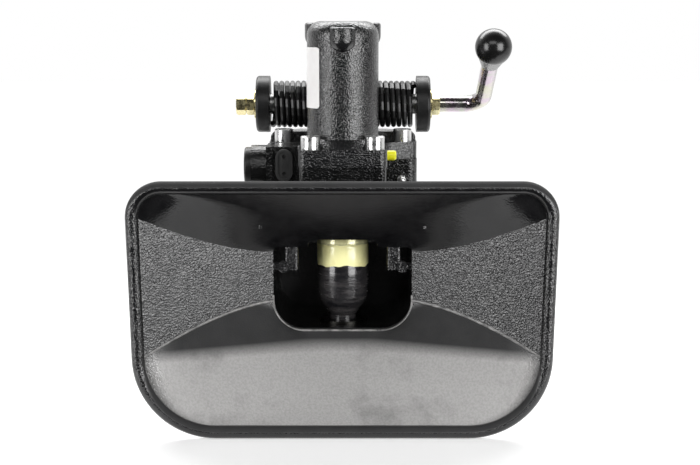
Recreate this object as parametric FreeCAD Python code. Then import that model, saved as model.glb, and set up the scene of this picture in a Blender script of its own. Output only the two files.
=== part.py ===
import FreeCAD, Part
import math
import os

os.makedirs("parts", exist_ok=True)
V = FreeCAD.Vector

# Driving sizes in millimetres. Shapes are drawn about the pin axis and then moved to the mounting face.
pin_to_flange = 165.0
fit_gap = 0.05
free_gap = 0.3

jaw_half_width = 190.0
jaw_top_z = 107.6
jaw_bottom_z = -123.0
jaw_wall = 10.0
jaw_depth = 80.0
jaw_foot_narrowing = 5.0
jaw_upper_corner = 32.0
jaw_lower_corner = 74.0
panel_upper_bow = 1.5
panel_lower_bow = 1.7
panel_crease = 1.1

throat_half_width = 64.0
throat_half_height = 39.0
throat_corner = 28.0
throat_front = -38.0
throat_back = 68.0

body_half_width = 78.0
bolt_clearance = 10.0
body_back = 92.0
body_bottom_z = -84.0
body_shoulder_z = 62.0
body_edge = 12.0

flange_top_z = 128.6
tower_flange = 16.0
deck_z = flange_top_z - tower_flange
tower_radius = 33.6
tower_wall = 5.1
shaft_rise = 34.4
shaft_z = flange_top_z + shaft_rise
tower_head = 82.0
tower_top_z = shaft_z + tower_head
tower_crown = 13.0
tower_roof = 8.0
block_half_width = 41.0
block_front = -48.0
ear_half_width = 72.0
ear_front = 30.0
ear_back = 74.0
hood_half_width = 31.0
crank_reach = 88.0
crank_lead = 6.0
shaft_y = crank_reach - crank_lead
hood_depth = 30.0
hood_back = shaft_y + hood_depth

pin_radius = 24.95
pin_barrel_radius = 24.4
pin_pilot_radius = 12.5
pin_foot_z = -62.0
pin_stroke = 92.0
lock_travel = 4.0

shaft_radius = 10.0
crank_half_turn = math.degrees(math.asin(pin_stroke / 2.0 / crank_reach))
lift_y = shaft_y - crank_reach * math.cos(math.radians(crank_half_turn))
lift_z = shaft_z - pin_stroke / 2.0
lift_pin_radius = 6.0
crank_half_thickness = 5.5

spring_outer_radius = 23.4
spring_wire = 5.2
spring_pitch = 5.5
cap_inner_x = 73.0
cap_thickness = 13.3
cap_radius = 28.0
washer_thickness = 2.0
washer_radius = 14.5
nut_flats = 19.0
nut_thickness = 8.0
lever_radius = 8.0
lever_x = 138.6
lever_bend = 20.0
lever_forward = 106.0
lever_rise = 58.4
knob_radius = 17.0

shank_radius = 29.0
flange_thickness = 24.0
flange_hub = 8.0
flange_half_x = 100.0
flange_half_z = 70.0
bolt_spacing_x = 160.0
bolt_spacing_z = 100.0
bolt_hole_radius = 10.5
spigot_radius = 47.0
spigot_length = 50.0
bush_wall = 4.0


def box(x0, x1, y0, y1, z0, z1):
    return Part.makeBox(x1 - x0, y1 - y0, z1 - z0, V(x0, y0, z0))


def rod_x(radius, x0, x1, y, z):
    return Part.makeCylinder(radius, x1 - x0, V(x0, y, z), V(1, 0, 0))


def rod_y(radius, y0, y1, x, z):
    return Part.makeCylinder(radius, y1 - y0, V(x, y0, z), V(0, 1, 0))


def rod_z(radius, z0, z1, x, y):
    return Part.makeCylinder(radius, z1 - z0, V(x, y, z0), V(0, 0, 1))


def rounded_wire(points, radii):
    # A closed outline whose corners are turned into tangent arcs.
    edges = []
    starts = []
    ends = []
    mids = []
    count = len(points)
    for i in range(count):
        corner = points[i]
        to_last = (points[i - 1] - corner).normalize()
        to_next = (points[(i + 1) % count] - corner).normalize()
        half = to_last.getAngle(to_next) / 2.0
        reach = radii[i] / math.tan(half)
        middle = (to_last + to_next).normalize()
        centre = corner + middle * (radii[i] / math.sin(half))
        starts.append(corner + to_last * reach)
        ends.append(corner + to_next * reach)
        mids.append(centre - middle * radii[i])
    for i in range(count):
        edges.append(Part.Arc(starts[i], mids[i], ends[i]).toShape())
        edges.append(Part.makeLine(ends[i], starts[(i + 1) % count]))
    return Part.Wire(edges)


def jaw_outline(y, half_top, half_foot, top, bottom, upper, lower):
    corners = [V(half_top, y, top), V(half_foot, y, bottom), V(-half_foot, y, bottom), V(-half_top, y, top)]
    return rounded_wire(corners, [upper, lower, lower, upper])


def plate_z(points, z0, z1):
    wire = Part.makePolygon([V(p[0], p[1], z0) for p in points] + [V(points[0][0], points[0][1], z0)])
    return Part.Face(wire).extrude(V(0, 0, z1 - z0))


def plate_x(points, x0, x1):
    wire = Part.makePolygon([V(x0, p[0], p[1]) for p in points] + [V(x0, points[0][0], points[0][1])])
    return Part.Face(wire).extrude(V(x1 - x0, 0, 0))


def link_x(y0, z0, r0, y1, z1, r1, x0, x1):
    # A flat link with round ends, drawn with the outer tangents of two circles.
    length = math.hypot(y1 - y0, z1 - z0)
    lean = math.atan2(z1 - z0, y1 - y0)
    side = math.acos((r0 - r1) / length)
    up = lean + side
    down = lean - side
    a = (y0 + r0 * math.cos(up), z0 + r0 * math.sin(up))
    b = (y1 + r1 * math.cos(up), z1 + r1 * math.sin(up))
    c = (y1 + r1 * math.cos(down), z1 + r1 * math.sin(down))
    d = (y0 + r0 * math.cos(down), z0 + r0 * math.sin(down))
    bar = plate_x([a, b, c, d], x0, x1)
    return bar.fuse([rod_x(r0, x0, x1, y0, z0), rod_x(r1, x0, x1, y1, z1)]).removeSplitter()


def hexagon_x(flats, x0, x1, y, z):
    corner = flats / 2.0 / math.cos(math.pi / 6.0)
    points = []
    for i in range(6):
        angle = math.pi / 6.0 + i * math.pi / 3.0
        points.append((y + corner * math.cos(angle), z + corner * math.sin(angle)))
    prism = plate_x(points, x0, x1)
    bevel = 1.2
    round_bar = rod_x(corner, x0, x1, y, z)
    ends = [e for e in round_bar.Edges if e.Curve.TypeId == "Part::GeomCircle"]
    round_bar = round_bar.makeChamfer(bevel, ends)
    return prism.common(round_bar)


def round_upright(solid, radius, test):
    chosen = []
    for e in solid.Edges:
        if len(e.Vertexes) != 2:
            continue
        a = e.Vertexes[0].Point
        b = e.Vertexes[1].Point
        if abs(a.x - b.x) < 0.01 and abs(a.y - b.y) < 0.01 and test(a):
            chosen.append(e)
    return solid.makeFillet(radius, chosen)


def save(shape, name):
    solid = shape.copy()
    solid.translate(V(0, -pin_to_flange, 0))
    solid.exportStep("parts/" + name + ".step")


def group(shapes, name):
    save(Part.makeCompound(shapes), name)


# Catch jaw: a flared funnel lofted from the throat to the lip, with a round lip and a bolting rim behind it.
lip_front = throat_front - jaw_depth
bead = jaw_wall / 2.0 + 0.8
bead_y = lip_front + bead
jaw_rim = 10.0
rim_front = throat_front - jaw_rim
foot_half = jaw_half_width - jaw_foot_narrowing
jaw_bolt_x = body_half_width + bolt_clearance
wing_half = jaw_bolt_x + bolt_clearance
skin = 0.8
throat_upper_corner = 4.0


def funnel_outline(y, half_top, half_foot, top, bottom, upper, lower):
    # Each corner is an arc tangent to the floor or the ceiling that meets the side panel at a crease.
    upper_wide, upper_high = upper
    lower_wide, lower_high = lower

    def corner(half, level, wide, high, way):
        radius = (wide * wide + high * high) / (2.0 * high)
        turn = math.acos((radius - high) / radius) / 2.0
        return (V(half, y, level + way * high),
                V(half - wide + radius * math.sin(turn), y, level + way * radius * (1.0 - math.cos(turn))),
                V(half - wide, y, level))

    right_top = corner(half_top, top, upper_wide, upper_high, -1.0)
    right_foot = corner(half_foot, bottom, lower_wide, lower_high, 1.0)
    left_top = [V(-p.x, p.y, p.z) for p in right_top]
    left_foot = [V(-p.x, p.y, p.z) for p in right_foot]
    return Part.Wire([
        Part.Arc(right_top[2], right_top[1], right_top[0]).toShape(),
        Part.makeLine(right_top[0], right_foot[0]),
        Part.Arc(right_foot[0], right_foot[1], right_foot[2]).toShape(),
        Part.makeLine(right_foot[2], left_foot[2]),
        Part.Arc(left_foot[2], left_foot[1], left_foot[0]).toShape(),
        Part.makeLine(left_foot[0], left_top[0]),
        Part.Arc(left_top[0], left_top[1], left_top[2]).toShape(),
        Part.makeLine(left_top[2], right_top[2])])


def funnel_section(share, grow_throat, shrink_lip):
    # The share runs from 0 at the throat to 1 at the lip, and the panels narrow faster than the opening.
    def between(near, far):
        return near + (far - near) * share

    half_top = between(throat_half_width + grow_throat, jaw_half_width - shrink_lip)
    half_foot = between(throat_half_width + grow_throat, foot_half - shrink_lip)
    top = between(throat_half_height + grow_throat, jaw_top_z - shrink_lip)
    bottom = between(-throat_half_height - grow_throat, jaw_bottom_z + shrink_lip)
    panel_top = throat_half_height - throat_upper_corner
    panel_top += (jaw_top_z - jaw_upper_corner - panel_top) * share ** panel_upper_bow
    panel_foot = throat_corner - throat_half_height
    panel_foot += (jaw_bottom_z + jaw_lower_corner - panel_foot) * share ** panel_lower_bow
    upper_high = top - panel_top
    lower_high = panel_foot - bottom
    widen = 1.0 + panel_crease * math.sin(math.pi * share) ** 0.35
    return funnel_outline(between(rim_front, bead_y), half_top, half_foot, top, bottom,
                          (upper_high * (2.0 * widen - 1.0), upper_high), (lower_high * widen, lower_high))


funnel_shares = [0.0, 0.3, 0.65, 1.0]
grow = jaw_wall + 3.0
jaw_outer = Part.makeLoft([funnel_section(s, grow, skin) for s in funnel_shares], True, False)
jaw_inner = Part.makeLoft([funnel_section(s, 0.0, jaw_wall) for s in funnel_shares], True, False)
rim = Part.Face(jaw_outline(rim_front - 4.0, wing_half, wing_half, body_shoulder_z - 2.0, body_bottom_z,
                            14.0, 20.0))
rim = rim.extrude(V(0, jaw_rim + 4.0, 0))
throat_hole = Part.Face(jaw_outline(rim_front - 0.01, throat_half_width, throat_half_width, throat_half_height,
                                    -throat_half_height, throat_upper_corner, throat_corner))
throat_hole = throat_hole.extrude(V(0, jaw_rim + 1.0, 0))
jaw_solid = jaw_outer.fuse(rim).cut(jaw_inner).cut(throat_hole)
# The lip is a round bead, a little thicker than the wall behind it.
bead_wire = jaw_outline(bead_y, jaw_half_width - bead, foot_half - bead, jaw_top_z - bead,
                        jaw_bottom_z + bead, jaw_upper_corner - bead, jaw_lower_corner - bead)
bead_start = bead_wire.Edges[1].valueAt(bead_wire.Edges[1].FirstParameter)
bead_along = bead_wire.Edges[1].tangentAt(bead_wire.Edges[1].FirstParameter)
bead_ring = Part.Wire([Part.makeCircle(bead, bead_start, bead_along)])
bead_path = Part.Wire(bead_wire.Edges[1:] + bead_wire.Edges[:1])
bead_solid = bead_path.makePipeShell([bead_ring], True, True)
jaw_solid = jaw_solid.fuse(bead_solid)
# Two stop lugs hang in the upper corners of the throat.
lug_inner_x = 41.0
lug_outer_x = 54.0
lug_foot_z = 17.0
for side in (-1, 1):
    lug = box(lug_inner_x, lug_outer_x, rim_front + 4.0, throat_front, lug_foot_z, throat_half_height + 4.0)
    lug = round_upright(lug, 3.0, lambda p: p.y < rim_front + 5.0)
    foot = rod_y(5.0, rim_front + 2.0, throat_front, lug_outer_x + 1.0, lug_foot_z + 3.0)
    web = box(lug_outer_x - 1.0, throat_half_width + 2.0, rim_front + 6.0, throat_front,
              lug_foot_z, lug_foot_z + 6.0)
    lug = lug.fuse([foot, web])
    if side < 0:
        lug = lug.mirror(V(0, 0, 0), V(1, 0, 0))
    jaw_solid = jaw_solid.fuse(lug)
# A notch in the ceiling shows the pin up to its upper bush.
notch_half = 32.0
notch_top = 47.5
notch = box(-notch_half, notch_half, rim_front - 20.0, -20.0, 0.0, notch_top)
notch = notch.makeFillet(6.0, [e for e in notch.Edges if e.BoundBox.ZMin > notch_top - 1.0
                               and e.BoundBox.YLength > 9.0])
roof_hole_x = 74.0
roof_hole_y = rim_front - 27.0
roof_hole_radius = 2.0
jaw_bolt_z = [-58.0, 40.0]
jaw_bolt_radius = 6.0
for x in (-jaw_bolt_x, jaw_bolt_x):
    for z in jaw_bolt_z:
        jaw_solid = jaw_solid.cut(rod_y(jaw_bolt_radius + fit_gap, rim_front + 3.0, throat_front + 1.0, x, z))
jaw_solid = jaw_solid.cut(notch)
# Two small holes in the ceiling take a cover for road use.
for x in (-roof_hole_x, roof_hole_x):
    jaw_solid = jaw_solid.cut(rod_z(roof_hole_radius, throat_half_height + 8.0, jaw_top_z, x, roof_hole_y))
jaw_solid = jaw_solid.removeSplitter()
save(jaw_solid, "catch_jaw")

jaw_bolts = []
bolt_head = 8.0
ear_thickness = 14.0
for x in (-jaw_bolt_x, jaw_bolt_x):
    for z in jaw_bolt_z:
        head = hexagon_x(nut_flats, 0.0, bolt_head, 0.0, 0.0)
        head.rotate(V(0, 0, 0), V(0, 0, 1), 90.0)
        head.translate(V(x, throat_front + ear_thickness, z))
        stem = rod_y(jaw_bolt_radius, rim_front + 4.0, throat_front + ear_thickness, x, z)
        jaw_bolts.append(head.fuse(stem))
group(jaw_bolts, "jaw_bolts")

# Coupling body: one forging with the throat, the upper and lower pin seats, the lock barrel and the shank.
upper_bush_outer = 31.0
upper_bush_top = 84.0
lower_bush_outer = 22.0
pin_bore = 26.0
lock_y = 8.0
lock_z = 108.5
lock_barrel = 20.0
lock_end = -86.8
left_front = -15.0
right_outer = ear_half_width - fit_gap
trunk = box(-body_half_width, body_half_width, throat_front, body_back, body_bottom_z, body_shoulder_z)
trunk = round_upright(trunk, body_edge, lambda p: p.y > 0)
ears = box(-wing_half, wing_half, throat_front, throat_front + ear_thickness, body_bottom_z,
           body_shoulder_z - 2.0)
ears = ears.makeFillet(10.0, [e for e in ears.Edges if abs(abs(e.CenterOfMass.x) - wing_half) < 0.1
                              and e.BoundBox.YLength > 5.0])
centre_block = box(-block_half_width + 1.0, block_half_width - 1.0, block_front + 1.0, hood_back - 4.0,
                   body_shoulder_z + free_gap, deck_z)
centre_block = round_upright(centre_block, 5.0, lambda p: p.y < 0)
trunk_deck = box(-block_half_width + 6.0, block_half_width - 6.0, throat_front + 2.0, body_back - 2.0,
                 body_shoulder_z - 5.0, body_shoulder_z + 5.0)
left_block = box(-ear_half_width, 0.0, left_front, ear_back, body_shoulder_z - 5.0, deck_z)
left_tall = box(-ear_half_width, -block_half_width - 1.0, left_front, ear_front - 1.0, deck_z - 5.0,
                flange_top_z)
right_block = box(0.0, right_outer, ear_front, ear_back, body_shoulder_z - 5.0, deck_z)
right_block = round_upright(right_block, 9.0, lambda p: p.x > 10.0 and p.y < ear_front + 1.0)
barrel = rod_x(lock_barrel, lock_end, -block_half_width, lock_y, lock_z)
shank_end = pin_to_flange + spigot_length + 85.0
shank = rod_y(shank_radius, body_back - 4.0, shank_end - 45.0, 0.0, 0.0)
neck = rod_y(42.0, body_back - 4.0, body_back + 6.0, 0.0, 0.0)
thread_radius = 24.0
shank_tip = rod_y(thread_radius, shank_end - 46.0, shank_end, 0.0, 0.0)
body_solid = trunk.fuse([ears, centre_block, trunk_deck, left_block, left_tall, right_block, barrel])
body_solid = body_solid.fuse([neck, shank, shank_tip])
throat_room = Part.Face(jaw_outline(throat_front - 1.0, throat_half_width, throat_half_width,
                                    throat_half_height, -throat_half_height, throat_upper_corner,
                                    throat_corner))
throat_room = throat_room.extrude(V(0, throat_back - throat_front + 1.0, 0))
body_solid = body_solid.cut(throat_room).cut(notch)
bush_seat = rod_z(upper_bush_outer + fit_gap, throat_half_height - 1.0, upper_bush_top, 0.0, 0.0)
body_solid = body_solid.cut(bush_seat)
body_solid = body_solid.cut(rod_z(pin_bore, upper_bush_top - 1.0, deck_z + 1.0, 0.0, 0.0))
body_solid = body_solid.cut(rod_z(lower_bush_outer + fit_gap, body_bottom_z - 1.0, 0.0, 0.0, 0.0))
# Slots for the crank arm and for the trigger behind the throat.
slot_half = 7.5
body_solid = body_solid.cut(box(-slot_half, slot_half, 0.0, shaft_y - 20.0, 98.0, deck_z + 1.0))
trigger_half = 5.0
trigger_y = 84.0
trigger_z = 80.0
trigger_room = trigger_half + 1.0
body_solid = body_solid.cut(box(-trigger_room, trigger_room, 61.0, body_back - 2.5, 8.0, 68.0))
body_solid = body_solid.cut(box(-trigger_room, trigger_room, 66.0, 101.0, 58.0, deck_z + 1.0))
pivot_radius = 5.0
body_solid = body_solid.cut(rod_x(pivot_radius + fit_gap, -ear_half_width, 30.0, trigger_y, trigger_z))
# Lock bore, from the barrel end to the pin bore.
plunger_radius = 8.0
lock_shelf = -52.0
body_solid = body_solid.cut(rod_x(plunger_radius + fit_gap, lock_end - 1.0, -10.0, lock_y, lock_z))
body_solid = body_solid.cut(rod_x(13.0, lock_end - 1.0, lock_shelf, lock_y, lock_z))
for x in (-jaw_bolt_x, jaw_bolt_x):
    for z in jaw_bolt_z:
        body_solid = body_solid.cut(rod_y(jaw_bolt_radius + 0.5, throat_front - 1.0, 20.0, x, z))
# Recess with a ledge in the front of the upper block.
body_solid = body_solid.cut(box(-8.0, 31.0, block_front, block_front + 4.0, 105.9, deck_z + 1.0))
body_solid = body_solid.cut(box(-8.0, 31.0, block_front, block_front + 2.5, 96.0, 106.0))
# Tapped holes under the tower screws.
screw_radius = 6.0
front_screw = (29.5, -35.0)
rear_screw = (58.0, 51.0)
screw_spots = []
for spot in (front_screw, rear_screw):
    for side in (-1, 1):
        screw_spots.append((side * spot[0], spot[1]))
screw_depth = 22.0
for x, y in screw_spots:
    body_solid = body_solid.cut(rod_z(screw_radius + fit_gap, deck_z - screw_depth - 1.0, deck_z + 1.0, x, y))
nipple_x = 57.0
nipple_z = 93.0
body_solid = body_solid.cut(rod_y(3.0 + fit_gap, ear_front - 1.0, ear_front + 9.0, nipple_x, nipple_z))
cover_x = -55.0
cover_z = 111.5
cover_half = 8.0
cover_rise = 15.0
cover_flat = box(cover_x - 11.0, cover_x + 11.0, left_front - 1.0, left_front + 2.0, 84.0, flange_top_z + 1.0)
body_solid = body_solid.cut(cover_flat)
split_y = shank_end - 9.0
split_radius = 3.0
body_solid = body_solid.cut(rod_z(split_radius + fit_gap, -40.0, 40.0, 0.0, split_y))
body_solid = body_solid.removeSplitter()
save(body_solid, "coupling_body")

# Bushes that guide the pin.
upper_bush = rod_z(upper_bush_outer, notch_top - 1.5, upper_bush_top, 0.0, 0.0)
upper_bush = upper_bush.cut(rod_z(pin_radius + fit_gap, 0.0, 100.0, 0.0, 0.0))
save(upper_bush, "upper_bush")
lower_bush = rod_z(lower_bush_outer, body_bottom_z + 6.0, -throat_half_height + 2.0, 0.0, 0.0)
lower_bush = lower_bush.cut(rod_z(pin_pilot_radius + fit_gap, -100.0, 0.0, 0.0, 0.0))
save(lower_bush, "lower_bush")

# Coupling pin: pilot, cone, barrel, guide and a slotted head for the crank.
head_radius = 22.0
head_foot_z = 92.0
head_top_z = lift_z + 16.0
profile = [V(0, 0, pin_foot_z), V(pin_pilot_radius - 2.5, 0, pin_foot_z),
           V(pin_pilot_radius, 0, pin_foot_z + 5.0),
           V(pin_pilot_radius, 0, -33.0), V(22.0, 0, -19.0), V(23.6, 0, -14.0)]
pin_edges = [Part.makeLine(profile[i], profile[i + 1]) for i in range(len(profile) - 1)]
barrel_low = V(23.6, 0, -14.0)
barrel_mid = V(pin_barrel_radius, 0, 8.0)
barrel_high = V(23.4, 0, 30.0)
pin_edges.append(Part.Arc(barrel_low, barrel_mid, barrel_high).toShape())
rest = [barrel_high, V(pin_radius, 0, 38.0), V(pin_radius, 0, head_foot_z),
        V(head_radius, 0, head_foot_z + 3.0),
        V(head_radius, 0, head_top_z), V(0, 0, head_top_z), V(0, 0, pin_foot_z)]
pin_edges = pin_edges + [Part.makeLine(rest[i], rest[i + 1]) for i in range(len(rest) - 1)]
pin_solid = Part.Face(Part.Wire(pin_edges)).revolve(V(0, 0, 0), V(0, 0, 1), 360.0)
lift_slack = 1.3
slot_low = shaft_y - crank_reach - lift_pin_radius - 1.5
slot_high = lift_y + lift_pin_radius + 1.5
pin_solid = pin_solid.cut(box(-crank_half_thickness - 1.0, crank_half_thickness + 1.0, -40.0, 40.0,
                              lift_z - 30.0, head_top_z + 1.0))
pin_slot = box(-40.0, 40.0, slot_low, slot_high, lift_z - lift_pin_radius - lift_slack,
               lift_z + lift_pin_radius + lift_slack)
pin_solid = pin_solid.cut(pin_slot)
# A pocket in the left of the barrel takes the lock plunger while the pin is up.
plunger_nose = -pin_bore - 0.5
pocket_gap = 0.4
pocket_floor = plunger_nose + lock_travel + pocket_gap
pocket = rod_x(plunger_radius + pocket_gap, -40.0, pocket_floor, lock_y, lock_z - pin_stroke)
pin_solid = pin_solid.cut(pocket)
save(pin_solid, "coupling_pin")

# Mechanism tower: dome over the pin, hood over the crank, flange, shaft bosses and three top lugs.
deck = [(block_half_width, block_front), (block_half_width, ear_front), (ear_half_width, ear_front + 14.0),
        (ear_half_width, ear_back), (hood_half_width + 8.0, hood_back), (-hood_half_width - 8.0, hood_back),
        (-ear_half_width, ear_back), (-ear_half_width, ear_front + 14.0), (-block_half_width, ear_front),
        (-block_half_width, block_front)]
tower = plate_z(deck, deck_z, flange_top_z)
tower = round_upright(tower, 7.0, lambda p: True)
dome = rod_z(tower_radius, deck_z, tower_top_z, 0.0, 0.0)
dome = dome.makeFillet(tower_crown, [e for e in dome.Edges if e.BoundBox.ZMin > tower_top_z - 1.0])
skirt = Part.makeCone(tower_radius + 7.0, tower_radius, 8.0, V(0, 0, flange_top_z - 0.01))
hood_line = [(0.0, deck_z), (0.0, tower_top_z - 16.0), (22.0, tower_top_z - 16.0),
             (shaft_y + 14.0, shaft_z + 32.0), (hood_back, shaft_z + 20.0), (hood_back, deck_z)]
hood = plate_x(hood_line, -hood_half_width, hood_half_width)
hood = hood.makeFillet(6.0, [e for e in hood.Edges if abs(abs(e.CenterOfMass.x) - hood_half_width) < 0.1
                             and e.CenterOfMass.z > shaft_z + 5.0])
boss_end = 42.5
bosses = rod_x(16.5, -boss_end, boss_end, shaft_y, shaft_z)
saddle_half = ear_half_width - 0.5
saddle_top = shaft_z - spring_outer_radius - 2.5
saddle_line = [(saddle_half, 62.5), (saddle_half, ear_back - 0.5), (44.0, shaft_y + 18.0),
               (-44.0, shaft_y + 18.0), (-saddle_half, ear_back - 0.5), (-saddle_half, 62.5)]
saddle = plate_z(saddle_line, flange_top_z - 1.0, saddle_top)
saddle = saddle.makeFillet(6.0, [e for e in saddle.Edges if abs(e.CenterOfMass.x) > saddle_half - 0.1
                                 and e.CenterOfMass.z > saddle_top - 0.1])
parts = [dome, skirt, hood, bosses, saddle]
lug_radius = 12.5
lug_straight = 12.0
lug_reach = 27.0
for turn, top in ((-90.0, tower_top_z - 5.5), (30.0, tower_top_z - 1.5), (150.0, tower_top_z - 1.5)):
    lx = lug_reach * math.cos(math.radians(turn))
    ly = lug_reach * math.sin(math.radians(turn))
    lug = rod_z(lug_radius, top - lug_straight, top, lx, ly)
    lug = lug.makeFillet(2.5, [e for e in lug.Edges if e.BoundBox.ZMin > top - 1.0])
    lug = lug.fuse(Part.makeSphere(lug_radius, V(lx, ly, top - lug_straight)))
    parts.append(lug)
tower = tower.fuse(parts)
bore = rod_z(tower_radius - tower_wall, deck_z - 1.0, tower_top_z - tower_roof, 0.0, 0.0)
hood_wall = 9.0
room_top = tower_top_z - 16.0 - hood_wall
room_line = [(0.0, deck_z - 1.0), (0.0, room_top), (20.0, room_top), (shaft_y + 10.0, shaft_z + 24.0),
             (hood_back - 7.0, shaft_z + 10.0), (hood_back - 7.0, deck_z - 1.0)]
room = plate_x(room_line, -hood_half_width + hood_wall, hood_half_width - hood_wall)
tower = tower.cut(bore).cut(room)
bush_radius = shaft_radius + 3.0
tower = tower.cut(rod_x(bush_radius + fit_gap, -60.0, 60.0, shaft_y, shaft_z))
for x, y in screw_spots:
    tower = tower.cut(rod_z(screw_radius + 0.5, deck_z - 1.0, flange_top_z + 1.0, x, y))
    tower = tower.cut(rod_z(10.2, flange_top_z, flange_top_z + 16.0, x, y))
tower = tower.cut(rod_x(plunger_radius + 1.0, -60.0, -20.0, lock_y, lock_z))
plug_y = -18.0
plug_z = 121.0
plug_radius = 4.6
tower = tower.cut(rod_x(3.2, block_half_width - 10.0, block_half_width + 1.0, plug_y, plug_z))
for turn, top in ((-90.0, tower_top_z - 5.5), (30.0, tower_top_z - 1.5), (150.0, tower_top_z - 1.5)):
    lx = (lug_reach + 5.0) * math.cos(math.radians(turn))
    ly = (lug_reach + 5.0) * math.sin(math.radians(turn))
    tower = tower.cut(rod_z(3.4, top - 14.0, top + 1.0, lx, ly))
tower = tower.removeSplitter()
save(tower, "mechanism_tower")

for name, side in (("left_shaft_bush", -1), ("right_shaft_bush", 1)):
    sleeve = rod_x(bush_radius, hood_half_width - hood_wall, boss_end, shaft_y, shaft_z)
    sleeve = sleeve.cut(rod_x(shaft_radius + fit_gap, 0.0, 60.0, shaft_y, shaft_z))
    if side < 0:
        sleeve = sleeve.mirror(V(0, 0, 0), V(1, 0, 0))
    save(sleeve, name)


def cap_screw(x, y):
    head = rod_z(9.0, flange_top_z, flange_top_z + 12.0, x, y)
    head = head.makeChamfer(0.8, [e for e in head.Edges if e.BoundBox.ZMin > flange_top_z + 11.0])
    socket = hexagon_x(10.0, 0.0, 7.0, 0.0, 0.0)
    socket.rotate(V(0, 0, 0), V(0, 1, 0), -90.0)
    socket.translate(V(x, y, flange_top_z + 6.0))
    stem = rod_z(screw_radius, deck_z - screw_depth, flange_top_z, x, y)
    return head.cut(socket).fuse(stem)


group([cap_screw(x, y) for x, y in screw_spots[:2]], "front_tower_screws")
group([cap_screw(x, y) for x, y in screw_spots[2:]], "rear_tower_screws")

# Release shaft with its crank. The crank is drawn in the closed position.
shaft_end = cap_inner_x + cap_thickness
stud_radius = 6.0
stud_depth = 22.0
key_radius = 3.0
hub_radius = 19.0
hub_half = hood_half_width - hood_wall - 0.5
shaft = rod_x(shaft_radius, -shaft_end, shaft_end, shaft_y, shaft_z)
for start in (-shaft_end - 1.0, shaft_end - stud_depth - 2.0):
    shaft = shaft.cut(rod_x(stud_radius + fit_gap, start, start + stud_depth + 3.0, shaft_y, shaft_z))
key_hole = rod_z(key_radius + fit_gap, shaft_z - 40.0, shaft_z + 40.0, 0.0, shaft_y)
save(shaft.cut(key_hole), "release_shaft")
crank = link_x(shaft_y, shaft_z, hub_radius, lift_y, lift_z, 11.0, -crank_half_thickness,
               crank_half_thickness)
crank = crank.fuse(rod_x(hub_radius, -hub_half, hub_half, shaft_y, shaft_z)).removeSplitter()
crank = crank.cut(rod_x(shaft_radius + fit_gap, -40.0, 40.0, shaft_y, shaft_z))
crank = crank.cut(rod_x(lift_pin_radius + fit_gap, -40.0, 40.0, lift_y, lift_z)).cut(key_hole)
save(crank, "lift_crank")
save(rod_z(key_radius, shaft_z - hub_radius + 1.0, shaft_z + hub_radius - 1.0, 0.0, shaft_y), "crank_key")
save(rod_x(lift_pin_radius, -17.0, 17.0, lift_y, lift_z), "lift_pin")

coil_radius = spring_outer_radius - spring_wire / 2.0
coil_start = hood_half_width + free_gap + spring_wire / 2.0
coil_length = cap_inner_x - free_gap - spring_wire / 2.0 - coil_start


def coil(pitch, length, radius, wire, steps=18, sides=8):
    # A wire of many flats wound on a helix: rings of corners joined by triangles into one closed solid.
    count = int(round(length / pitch * steps))
    tilt = math.atan2(pitch, 2.0 * math.pi * radius)
    rings = []
    for i in range(count + 1):
        turn = 2.0 * math.pi * i / steps * (length / pitch * steps / count)
        out = V(math.cos(turn), math.sin(turn), 0)
        up = V(math.sin(turn) * math.sin(tilt), -math.cos(turn) * math.sin(tilt), math.cos(tilt))
        middle = out * radius + V(0, 0, length * i / count)
        ring = []
        for k in range(sides):
            angle = 2.0 * math.pi * k / sides
            ring.append(middle + out * (wire / 2.0 * math.cos(angle)) + up * (wire / 2.0 * math.sin(angle)))
        rings.append(ring)
    faces = []
    for near, far in zip(rings[:-1], rings[1:]):
        for k in range(sides):
            after = (k + 1) % sides
            faces.append(Part.Face(Part.makePolygon([near[k], near[after], far[after], near[k]])))
            faces.append(Part.Face(Part.makePolygon([near[k], far[after], far[k], near[k]])))
    for ring in (rings[0], rings[-1]):
        faces.append(Part.Face(Part.makePolygon(ring + [ring[0]])))
    solid = Part.Solid(Part.Shell(faces))
    if solid.Volume < 0:
        solid.reverse()
    return solid


for name, side in (("left_torsion_spring", -1), ("right_torsion_spring", 1)):
    spring = coil(spring_pitch, coil_length, coil_radius, spring_wire)
    spring.rotate(V(0, 0, 0), V(0, 1, 0), 90.0 * side)
    spring.translate(V(side * coil_start, shaft_y, shaft_z))
    save(spring, name)

for name, side in (("left_spring_cap", -1), ("right_spring_cap", 1)):
    cap = rod_x(cap_radius, cap_inner_x, shaft_end, shaft_y, shaft_z)
    cap = cap.makeFillet(3.0, [e for e in cap.Edges if e.BoundBox.XMin > shaft_end - 1.0])
    cap = cap.cut(rod_x(shaft_radius + fit_gap, 0.0, 100.0, shaft_y, shaft_z))
    if side < 0:
        cap = cap.mirror(V(0, 0, 0), V(1, 0, 0))
    save(cap, name)
nut_start = shaft_end + washer_thickness
nut_end = nut_start + nut_thickness
for side, word in ((-1, "left"), (1, "right")):
    washer = rod_x(washer_radius, shaft_end, nut_start, shaft_y, shaft_z)
    nut = hexagon_x(nut_flats, nut_start, nut_end, shaft_y, shaft_z)
    washer = washer.cut(rod_x(stud_radius + fit_gap, 0.0, 120.0, shaft_y, shaft_z))
    nut = nut.cut(rod_x(stud_radius + fit_gap, 0.0, 120.0, shaft_y, shaft_z))
    if side < 0:
        washer = washer.mirror(V(0, 0, 0), V(1, 0, 0))
        nut = nut.mirror(V(0, 0, 0), V(1, 0, 0))
    save(washer, word + "_washer")
    save(nut, word + "_lock_nut")
head_start = nut_end + 0.6
end_bolt = hexagon_x(nut_flats, head_start, head_start + 9.6, shaft_y, shaft_z)
end_bolt = end_bolt.fuse(rod_x(stud_radius, shaft_end - stud_depth, head_start + 1.0, shaft_y, shaft_z))
end_bolt = end_bolt.mirror(V(0, 0, 0), V(1, 0, 0))
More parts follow.
